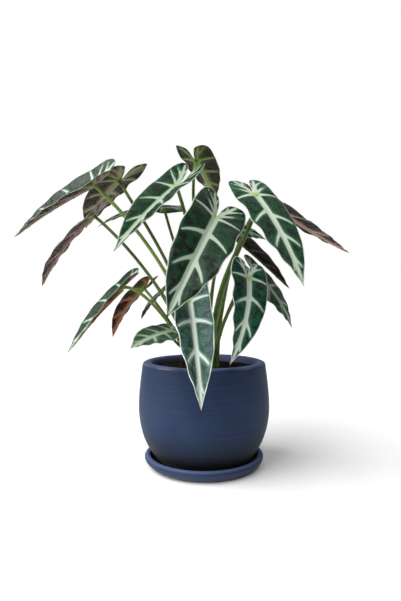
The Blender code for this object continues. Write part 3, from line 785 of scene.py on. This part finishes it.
def blade_object(leaf, form, settings, rng, materials):
    """The blade: a grid bent to the leaf's form, thickened to its ribs."""
    per_vein = max(10, round(form.length / VEINS / settings.cell * 0.8))
    along = per_vein * (VEINS + 2)
    half = max(10, round(form.width / settings.cell * 0.9))
    jitter = {side: rng.uniform(-0.18, 0.18, len(SIDE_VEINS)) for side in (-1, 1)}
    for side in jitter:
        jitter[side][0] *= 0.4
    bm = bmesh.new()
    layers = [bm.verts.layers.float.new(key) for key in BLADE_VALUES]
    uv_layer = bm.loops.layers.uv.new("leaf_mm")
    bmesh.ops.create_grid(bm, x_segments=2 * half, y_segments=along, size=1.0)
    place = np.array([vert.co[:2] for vert in bm.verts])
    u = np.abs(place[:, 0])
    u[u < 1e-6] = 0.0
    side = np.where(place[:, 0] < 0, -1, 1)
    rows = (place[:, 1] + 1) / 2 * (VEINS + 2) - 2
    # rows gather at the veins, where the relief is sharpest
    v = np.clip(rows - 0.09 * np.sin(math.tau * rows), -2, VEINS)
    flat = form.flat(u, v)
    points = form.point(u, v, side, np.cos(math.tau * v))
    above, thick, kept = blade_relief(leaf, form, settings, jitter, flat, u, v, side)

    bm.verts.ensure_lookup_table()
    deform = bm.verts.layers.deform.verify()
    top = float(thick.max())
    for i, vert in enumerate(bm.verts):
        vert.co = points[i]
        for layer, value in zip(layers, kept[i]):
            vert[layer] = value
        vert[deform][0] = float(max(thick[i], THINNEST) / top)
    length_of = np.linalg.norm(form.margin(v) - form.flat(np.zeros_like(v), v), axis=-1)
    maps = np.stack([side * u * length_of / MM, v * form.length / VEINS / MM], -1)
    for face in bm.faces:
        for loop in face.loops:
            loop[uv_layer].uv = maps[loop.vert.index]
    bm.normal_update()
    middle = form.midrib(np.array([0.5 * form.length]))[2][0]
    facing = sum((face.normal * face.calc_area() for face in bm.faces), Vector())
    if facing.dot(Vector(middle)) < 0:
        bmesh.ops.reverse_faces(bm, faces=bm.faces)
        bm.normal_update()
    # beside the fold, the skin is lifted straight out of it, so that its two halves don't cross
    out_of_fold = {round(rows[i], 3): vert.normal.copy()
                   for i, vert in enumerate(bm.verts) if u[i] == 0 and v[i] > 0.02}
    nearest = min(out_of_fold)
    beside = 1 - smooth(0.0004, 0.006, flat[:, 0])
    lifted = []
    for i, vert in enumerate(bm.verts):
        straight = out_of_fold[max(round(rows[i], 3), nearest)]
        lifted.append(vert.co + vert.normal.lerp(straight, beside[i]).normalized() * above[i])
    for vert, at in zip(bm.verts, lifted):
        vert.co = at
    bmesh.ops.remove_doubles(bm, verts=bm.verts, dist=2e-6)
    obj = new_object("blade_" + leaf.node, bm, materials)
    obj.vertex_groups.new(name="thickness")
    solid = obj.modifiers.new("thickness", "SOLIDIFY")
    solid.thickness = top
    solid.offset = -1.0
    solid.vertex_group = "thickness"
    solid.use_quality_normals = True
    solid.material_offset = 1
    solid.material_offset_rim = 0
    return obj


def petiole_points(form, leaf, level, count):
    """Points up the petiole's middle, from its foot in the soil to the joint."""
    foot = np.array([leaf.foot[0] * MM, leaf.foot[1] * MM, level + FOOT_CLEAR_OF_SOIL])
    _, tangent, normal = (a[0] for a in form.midrib(np.array([0.0])))
    arrival = unit(normal + leaf.lean * tangent)
    reach = np.linalg.norm(form.joint - foot)
    up = np.array([0.0, 0.0, 1.0])
    share = np.linspace(0, 1, count)
    above = cubic(foot, foot + up * reach * leaf.rise, form.joint - arrival * reach * ARRIVAL_SHARE,
                  form.joint, share)
    below = [foot - up * (FOOT_DEPTH + FOOT_CLEAR_OF_SOIL) * k for k in (1.0, 0.5)]
    return np.vstack([below, above]), np.concatenate([[0.0, 0.0], share])


def petiole_object(leaf, form, level, material):
    """The petiole: a grid rolled round its path, with a broad grooved sheath at the base."""
    count, sides = 56, 20
    path, share = petiole_points(form, leaf, level, count)
    tangent = unit(np.gradient(path, axis=0))
    outward = np.array([form.joint[0], form.joint[1], 0.0]) - np.array([path[0][0], path[0][1], 0.0])
    across = unit(np.cross(tangent[0], unit(outward)))
    frames = []
    for t in tangent:
        across = unit(across - across.dot(t) * t)
        frames.append((across, np.cross(across, t)))
    bm = bmesh.new()
    layer = bm.verts.layers.float.new("along")
    uv_layer = bm.loops.layers.uv.new("leaf_mm")
    bmesh.ops.create_grid(bm, x_segments=sides, y_segments=len(path) - 1, size=1.0)
    travelled = np.concatenate([[0], np.cumsum(np.linalg.norm(np.diff(path, axis=0), axis=1))])
    maps = []
    for vert in bm.verts:
        angle = (vert.co.x + 1) * math.pi
        row = round((vert.co.y + 1) / 2 * (len(path) - 1))
        s = share[row]
        above = float(smooth(leaf.sheath, leaf.sheath + SHEATH_TAPER, s))
        radius = leaf.foot_radius * MM * (1 - (1 - PETIOLE_TOP_SHARE) * above)
        wing = 1 - above
        # the sheath is broader than deep, and opens in a groove on its inner side
        wide = 1 + 0.10 * wing * smooth(0.02, 0.12, s)
        deep = 1 - 0.12 * wing * smooth(0.02, 0.12, s)
        groove = 1 - 0.28 * math.exp(-((angle - 1.5 * math.pi) / 0.5) ** 2) * smooth(0.04, 0.15, s)
        swell = 1 + 0.25 * smooth(0.97, 1.0, s)
        side, back = frames[row]
        vert.co = (path[row] + side * (radius * wide * swell * math.cos(angle))
                   + back * (radius * deep * groove * swell * math.sin(angle)))
        vert[layer] = s
        maps.append((angle * radius / MM, travelled[row] / MM))
    for face in bm.faces:
        for loop in face.loops:
            loop[uv_layer].uv = maps[loop.vert.index]
    bmesh.ops.remove_doubles(bm, verts=bm.verts, dist=1e-6)
    bmesh.ops.holes_fill(bm, edges=bm.edges, sides=0)
    bmesh.ops.recalc_face_normals(bm, faces=bm.faces)
    return new_object("petiole_" + leaf.node, bm, [material])


def applied(obj):
    """Turns the object's modifiers into its mesh."""
    bpy.context.view_layer.update()
    graph = bpy.context.evaluated_depsgraph_get()
    mesh = bpy.data.meshes.new_from_object(obj.evaluated_get(graph), preserve_all_data_layers=True,
                                           depsgraph=graph)
    obj.modifiers.clear()
    obj.data = mesh
    return obj


def joined(name, main_piece, *others):
    """Makes one object of several."""
    with bpy.context.temp_override(active_object=main_piece, object=main_piece,
                                   selected_objects=[main_piece, *others],
                                   selected_editable_objects=[main_piece, *others]):
        if bpy.ops.object.join() != {"FINISHED"}:
            raise RuntimeError("the pieces of %s could not be joined" % name)
    main_piece.name = name
    main_piece.data.name = name
    return main_piece


def pot_inside(ware, level, gap, steps):
    """Profile of the pot's inside from its floor up to the soil's surface, moved in by a gap."""
    widest = 0.0775 - gap
    low = cubic_run((0.046 - gap, ware.pot_floor + gap), (0.066 - gap, ware.pot_floor + 0.010),
                    (0.077 - gap, 0.052), (widest, ware.belly_height), steps)
    high = cubic_run((widest, ware.belly_height), (widest, 0.104), (0.0705 - gap, 0.122),
                     (ware.rim_inner - gap, level), steps)
    return low + high[1:]


# Operators

class ALOCASIA_OT_saucer(bpy.types.Operator):
    """Adds the saucer: a low dish with a rounded rim."""

    bl_idname = "alocasia.saucer"
    bl_label = "Add Saucer"

    def execute(self, context):
        s = context.scene.alocasia_ware
        top, outer, inner = s.saucer_top, s.saucer_radius, s.saucer_inner
        bed = [(r, s.saucer_floor) for r in np.linspace(0.0, inner - 0.0065, 14)]
        bed += cubic_run((inner - 0.0055, s.saucer_floor), (inner - 0.0030, s.saucer_floor + 0.0003),
                         (inner - 0.0013, s.saucer_floor + 0.0015),
                         (inner - 0.0010, s.saucer_floor + 0.004), 6)
        rim = cubic_run((inner, top - 0.003), (inner + 0.001, top + 0.001),
                        (outer - 0.001, top + 0.001), (outer, top - 0.003), 14)
        wall = cubic_run((outer, top - 0.003), (outer + 0.0002, 0.008), (0.073, 0.002),
                         (s.saucer_base, 0.0), 16)
        under = [(r, 0.0) for r in np.linspace(s.saucer_base, 0.0, 8)][1:]
        bm = turned(bed + rim + wall[1:] + under, s.steps, closed=False)
        edge, foot, bare = (bm.verts.layers.float.new(key) for key in ("edge", "foot", "bare"))
        for vert in bm.verts:
            radius = math.hypot(vert.co.x, vert.co.y)
            crest = math.exp(-((vert.co.z - top) / 0.0022) ** 2)
            # the saucer's rim crest: worn slip with a painted highlight
            vert[edge] = 0.62 * crest if radius > inner - 0.002 else 0.0
            below_lip = min(1.0, max(0.0, (top - 0.002 - vert.co.z) / 0.003))
            vert[bare] = 0.28 * below_lip if radius > inner else 0.0
            # painted shade: the saucer's hollow round the pot is darkened, as if the pot's belly shaded
            # it
            inside = radius < inner + 0.0005 and s.saucer_floor - 0.001 < vert.co.z < top
            vert[foot] = min(1.0, (top + 0.0005 - vert.co.z) / 0.004) if inside else 0.0
            if 0.0005 < vert.co.z < top - 0.001 and radius > inner:
                wobble = noise.noise(Vector((vert.co.x * 6, vert.co.y * 6, vert.co.z * 900)))
                vert.co.xy *= 1 + s.ridge * wobble / radius
        ware = bpy.data.materials.get(WARE) or ware_material(s)
        dress(new_object("stoneware_saucer", bm, [ware]), "saucer")
        return {"FINISHED"}


class ALOCASIA_OT_pot(bpy.types.Operator):
    """Adds the pot: thrown, round-bellied, with a thick rounded rim and a drain hole."""

    bl_idname = "alocasia.pot"
    bl_label = "Add Pot"

    def execute(self, context):
        s = context.scene.alocasia_ware
        level = context.scene.alocasia_soil.level
        bottom = s.saucer_floor + CLEAR
        top, rim = s.pot_top, s.rim_radius
        shoulder = cubic_run((rim, top - 0.0035), (0.084, 0.118), (s.belly_radius, 0.100),
                             (s.belly_radius, s.belly_height), 30)
        belly = cubic_run((s.belly_radius, s.belly_height), (s.belly_radius, 0.050), (0.076, 0.020),
                          (s.foot_radius, bottom + 0.001), 36)
        under = [(s.foot_radius - 0.0004, bottom + 0.0003), (s.foot_radius - 0.0015, bottom),
                 (0.045, bottom), (0.044, bottom + 0.0004), (0.0425, bottom + 0.0022),
                 (0.042, bottom + 0.0025),
                 (0.025, bottom + 0.0025), (s.drain_radius + 0.0006, bottom + 0.0025),
                 (s.drain_radius, bottom + 0.0031), (s.drain_radius, s.pot_floor - 0.0006),
                 (s.drain_radius + 0.0006, s.pot_floor)]
        lip = cubic_run((s.rim_inner, top - 0.004), (s.rim_inner + 0.001, top + 0.001),
                        (rim - 0.002, top + 0.001), (rim, top - 0.0035), 22)
        profile = shoulder + belly[1:] + under + pot_inside(s, level, 0.0, 16) + lip[:-1]
        bm = turned(profile, s.steps, closed=True)
        edge, foot, bare = (bm.verts.layers.float.new(key) for key in ("edge", "foot", "bare"))
        for vert in bm.verts:
            radius = math.hypot(vert.co.x, vert.co.y)
            # painted shade: the slip darkens from about 76 mm high down to the pot's foot
            shade_to_foot = max(0.0, min(1.0, (0.076 - vert.co.z) / 0.058)) ** 1.4
            vert[foot] = shade_to_foot if radius > 0.03 else 0.0
            corner = math.hypot(radius - rim + 0.0007, vert.co.z - top + 0.0022)
            around = noise.noise(Vector((vert.co.x * 30, vert.co.y * 30, 4.0)))
            vert[bare] = math.exp(-(corner / 0.0009) ** 2) * (0.6 + 0.9 * around)
            mouth = min(1.0, max(0.0, (rim + 0.0012 - radius) / 0.004))
            # the rim's crest is worn slip with a painted highlight, and the inner wall above the soil
            # is painted light
            crest = math.exp(-((vert.co.z - top) / 0.0028) ** 2)
            inside = 0.85 if radius < rim - 0.003 and vert.co.z > level - 0.02 else 0.0
            vert[edge] = max(0.95 * crest * max(mouth, 0.6), inside)
            if radius > 0.050 and vert.co.z > bottom + 0.002:
                wobble = noise.noise(Vector((vert.co.x * 5, vert.co.y * 5, vert.co.z * 500)))
                slow = noise.noise(Vector((vert.co.x * 12, vert.co.y * 12, vert.co.z * 20)))
                vert.co.xy *= 1 + s.ridge * (wobble + 1.5 * slow) / radius
        ware = bpy.data.materials.get(WARE) or ware_material(s)
        dress(new_object("stoneware_pot", bm, [ware]), "pot")
        return {"FINISHED"}


class ALOCASIA_OT_soil(bpy.types.Operator):
    """Adds the soil: crumbly on top, filling the pot down to its floor."""

    bl_idname = "alocasia.soil"
    bl_label = "Add Soil"

    def surface(self, x, y, s, rim):
        """Height of the soil at a place: low waves with lumps on them."""
        at = Vector((x / 0.012, y / 0.012, 7.0))
        fade = min(1.0, max(0.0, (rim - math.hypot(x, y)) / 0.012))
        lumps = noise.noise(Vector((x / 0.0035, y / 0.0035, 3.0))) * 0.0010
        fine = noise.noise(Vector((x / 0.0014, y / 0.0014, 5.0))) * 0.0005
        waves = s.bump * fade * (noise.noise(at) + 0.5 * noise.noise(at * 2.7))
        return s.level + waves + (lumps + fine) * (0.3 + 0.7 * fade)

    def execute(self, context):
        s = context.scene.alocasia_soil
        ware = context.scene.alocasia_ware
        rim = ware.rim_inner - CLEAR
        bed = [(0.0, ware.pot_floor + CLEAR)]
        rings = [(r, s.level) for r in np.linspace(rim, 0.0, 62)][1:]
        bm = turned(bed + pot_inside(ware, s.level, CLEAR, 8) + rings, 160, closed=False)
        for vert in bm.verts:
            if vert.co.z > s.level - 1e-5:
                vert.co.z = self.surface(vert.co.x, vert.co.y, s, rim)
        rng = np.random.default_rng(s.seed)
        # noise_vector starts from the clock unless it has a seed, and would shape other crumbs each run
        noise.seed_set(s.seed)
        for _ in range(s.crumbs):
            radius = rim * 0.97 * math.sqrt(rng.uniform(0, 1))
            angle = rng.uniform(0, math.tau)
            size = 0.0007 + 0.0011 * rng.uniform(0, 1) ** 3
            x, y = radius * math.cos(angle), radius * math.sin(angle)
            turn = Matrix.Rotation(rng.uniform(0, math.tau), 4, Vector(rng.normal(size=3)).normalized())
            stretch = Matrix.Diagonal((1.0, rng.uniform(0.5, 0.9), rng.uniform(0.4, 0.8), 1.0))
            at = Matrix.Translation((x, y, self.surface(x, y, s, rim) + 0.3 * size))
            made = bmesh.ops.create_icosphere(bm, subdivisions=1, radius=size,
                                              matrix=at @ turn @ stretch)
            for vert in made["verts"]:
                vert.co += 0.3 * size * noise.noise_vector(vert.co * 900)
        dress(new_object("potting_soil", bm, [soil_material(s)]), "soil")
        return {"FINISHED"}


class ALOCASIA_OT_leaves(bpy.types.Operator):
    """Adds the leaves, each with its blade and petiole."""

    bl_idname = "alocasia.leaves"
    bl_label = "Add Leaves"

    def execute(self, context):
        s = context.scene.alocasia_leaf
        level = context.scene.alocasia_soil.level
        upper = {key: upper_material(key, tones) for key, tones in UPPER.items()}
        lower = {key: lower_material(key, tones) for key, tones in LOWER.items()}
        stalk = {key: stalk_material(key, tones) for key, tones in STALK.items()}
        for number, leaf in enumerate(LEAVES):
            rng = np.random.default_rng(100 + number)
            form = Form(leaf, s)
            blade = applied(blade_object(leaf, form, s, rng, [upper[leaf.upper], lower[leaf.lower]]))
            petiole = petiole_object(leaf, form, level, stalk[leaf.stalk])
            dress(joined("alocasia_" + leaf.node, blade, petiole), leaf.node)
        return {"FINISHED"}


class ALOCASIA_OT_stage(bpy.types.Operator):
    """Adds the floor, the soft light and the camera."""

    bl_idname = "alocasia.stage"
    bl_label = "Add Stage"

    def execute(self, context):
        s = context.scene.alocasia_stage
        scene = context.scene
        bm = bmesh.new()
        # the sheet's front edge lies just in front of what the camera sees
        bmesh.ops.create_grid(bm, x_segments=1, y_segments=1, size=FLOOR_HALF,
                              matrix=Matrix.Translation((0, FLOOR_HALF + FLOOR_FRONT, -CLEAR)))
        # matt studio paper, without gloss
        paper, _, _ = start_material("matt_studio_paper", Base_Color=rgba(s.floor), Roughness=1.0,
                                     Specular_IOR_Level=0.0)
        new_object("floor", bm, [paper])

        sun = bpy.data.lights.new("key", "SUN")
        sun.energy = s.key
        sun.angle = KEY_ANGLE
        lamp = bpy.data.objects.new("key", sun)
        lamp.rotation_euler = KEY_TOWARDS.to_track_quat("-Z", "Y").to_euler()
        scene.collection.objects.link(lamp)

        box = bpy.data.lights.new("softbox", "AREA")
        box.size = SOFTBOX_SIZE
        box.energy = s.softbox
        lamp = bpy.data.objects.new("softbox", box)
        lamp.location = SOFTBOX_PLACE
        aim = SOFTBOX_TOWARDS - SOFTBOX_PLACE
        lamp.rotation_euler = aim.to_track_quat("-Z", "Y").to_euler()
        scene.collection.objects.link(lamp)

        # the room is bright above and dim around, and the camera sees it as a white wall
        world = bpy.data.worlds.new("room")
        world.use_nodes = True
        tree = world.node_tree
        background = tree.nodes["Background"]
        background.inputs["Color"].default_value = (1.0, 1.0, 1.0, 1.0)
        seen = add_node(tree, "LightPath", output="Is Camera Ray")
        towards = add_node(tree, "TexCoord", output="Generated")
        height = add_node(tree, "SeparateXYZ", {0: towards}, "Z")
        room = add_node(tree, "MapRange",
                        {"Value": height, "From Min": 0.05, "From Max": 0.85,
                         "To Min": s.walls, "To Max": s.ceiling}, **SOFT)
        strength = add_node(tree, "MapRange", {"Value": seen, "To Min": room, "To Max": 1.0})
        tree.links.new(strength, background.inputs["Strength"])
        scene.world = world
        scene.view_settings.view_transform = "Standard"

        camera = bpy.data.cameras.new("camera")
        camera.lens = s.lens
        camera.clip_start = 0.02
        camera.clip_end = 200.0
        eye = bpy.data.objects.new("camera", camera)
        eye.location = s.eye
        eye.rotation_euler = (math.pi / 2, 0.0, 0.0)
        scene.collection.objects.link(eye)
        scene.camera = eye
        return {"FINISHED"}


class ALOCASIA_PT_panel(bpy.types.Panel):
    """Lists the plant's pieces, with their settings below."""

    bl_idname = "ALOCASIA_PT_panel"
    bl_label = "Potted Alocasia"
    bl_space_type = "VIEW_3D"
    bl_region_type = "UI"
    bl_category = "Alocasia"

    def draw(self, context):
        for operator in OPERATORS:
            self.layout.operator(operator.bl_idname)
        for name, group in GROUPS.items():
            box = self.layout.box()
            for key in group.__annotations__:
                box.prop(getattr(context.scene, name), key)


OPERATORS = (ALOCASIA_OT_saucer, ALOCASIA_OT_pot, ALOCASIA_OT_soil, ALOCASIA_OT_leaves,
             ALOCASIA_OT_stage)
GROUPS = {"alocasia_ware": WareSettings, "alocasia_soil": SoilSettings, "alocasia_leaf": LeafSettings,
          "alocasia_stage": StageSettings}


def register():
    """Makes the settings, operators and panel known."""
    for name, group in GROUPS.items():
        bpy.utils.register_class(group)
        setattr(bpy.types.Scene, name, bpy.props.PointerProperty(type=group))
    for kind in (*OPERATORS, ALOCASIA_PT_panel):
        bpy.utils.register_class(kind)


def unregister():
    """Takes them away again."""
    for kind in reversed((*OPERATORS, ALOCASIA_PT_panel)):
        bpy.utils.unregister_class(kind)
    for name, group in GROUPS.items():
        delattr(bpy.types.Scene, name)
        bpy.utils.unregister_class(group)


def main():
    """Builds everything."""
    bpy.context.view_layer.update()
    register()
    bpy.ops.alocasia.saucer()
    bpy.ops.alocasia.pot()
    bpy.ops.alocasia.soil()
    bpy.ops.alocasia.leaves()
    bpy.ops.alocasia.stage()


if __name__ == "__main__":
    main()
